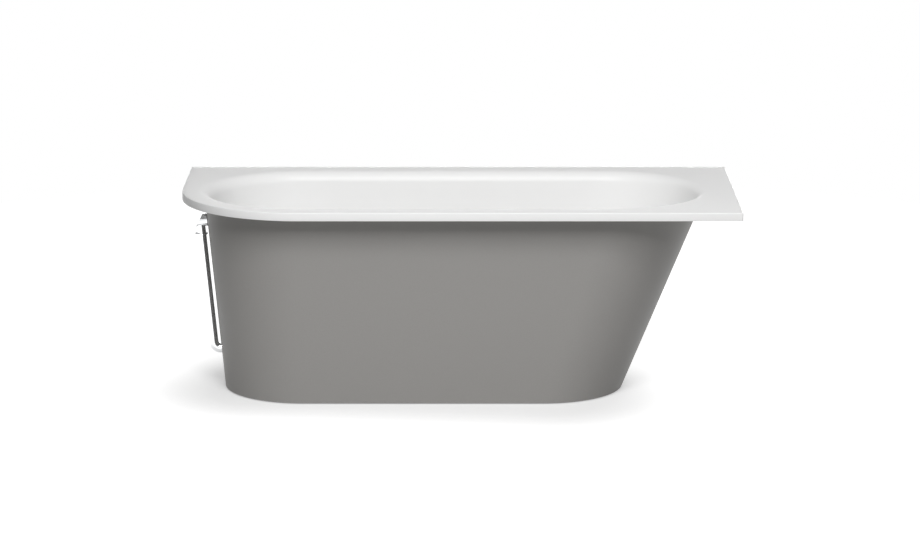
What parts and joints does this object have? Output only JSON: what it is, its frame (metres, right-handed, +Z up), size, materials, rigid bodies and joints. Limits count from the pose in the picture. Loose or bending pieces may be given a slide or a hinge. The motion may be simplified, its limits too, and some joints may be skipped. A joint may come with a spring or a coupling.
{
  "type": "back-to-wall corner bathtub",
  "caption": "Corner bathtub with one rounded free end, a broad flat rim, a leaning outer panel, an exposed overflow pipe, a click waste and levelling feet.",
  "frame": {"origin": "on the floor, under the centre of the rim's rectangle", "axes": "+X along the bath towards its reclining end, +Y towards the wall behind it, +Z up"},
  "size_m": [1.7, 0.75, 0.62],
  "materials": {
    "white_shell": "gloss, fine grain, white",
    "grey_panel": "satin mid grey",
    "sealant": "matt white",
    "board": "raw particle board",
    "steel": "zinc plated",
    "chrome": "polished",
    "brass": "turned",
    "rubber": "matt black",
    "white_plastic": "moulded white",
    "black_plastic": "moulded black"
  },
  "bodies": {
    "bath": {"basin": "white_shell", "skirt": "grey_panel", "rim_bead": "sealant", "base_board": "board", "left_rail": "steel", "right_rail": "steel", "rail_screws": "steel", "foot_nuts": "steel", "waste_flange": "chrome", "flange_gasket": "rubber", "body_gasket": "rubber", "waste_body": "white_plastic", "trap_cup": "white_plastic", "cup_seal": "rubber", "inlet_nut": "white_plastic", "inlet_seal": "rubber", "outlet_nut": "white_plastic", "outlet_seal": "rubber", "outlet_bend": "white_plastic", "click_cartridge": "brass", "click_spring": "steel", "overflow_elbow": "chrome", "elbow_seal": "rubber", "union_ring": "chrome", "overflow_tube": "chrome", "tube_grommet": "rubber", "overflow_carrier": "white_plastic", "carrier_gasket": "rubber", "overflow_rosette": "chrome", "overflow_screw": "brass"},
    "foot_front_left": {"foot_stud_front_left": "steel", "foot_pad_front_left": "black_plastic"},
    "foot_back_left": {"foot_stud_back_left": "steel", "foot_pad_back_left": "black_plastic"},
    "foot_front_right": {"foot_stud_front_right": "steel", "foot_pad_front_right": "black_plastic"},
    "foot_back_right": {"foot_stud_back_right": "steel", "foot_pad_back_right": "black_plastic"},
    "plug": {"plug_cap": "chrome", "plug_seal": "rubber", "plug_stem": "brass"}
  },
  "joints": [
    {"name": "plug_lift", "type": "slide", "parent": "bath", "child": "plug", "axis": [0, 0, 1], "range_m": [0, 0.009], "deforming": ["click_spring"]},
    {"name": "foot_front_left_height", "type": "slide", "parent": "bath", "child": "foot_front_left", "axis": [0, 0, 1], "range_m": [-0.012, 0.012]},
    {"name": "foot_back_left_height", "type": "slide", "parent": "bath", "child": "foot_back_left", "axis": [0, 0, 1], "range_m": [-0.012, 0.012]},
    {"name": "foot_front_right_height", "type": "slide", "parent": "bath", "child": "foot_front_right", "axis": [0, 0, 1], "range_m": [-0.012, 0.012]},
    {"name": "foot_back_right_height", "type": "slide", "parent": "bath", "child": "foot_back_right", "axis": [0, 0, 1], "range_m": [-0.012, 0.012]}
  ]
}
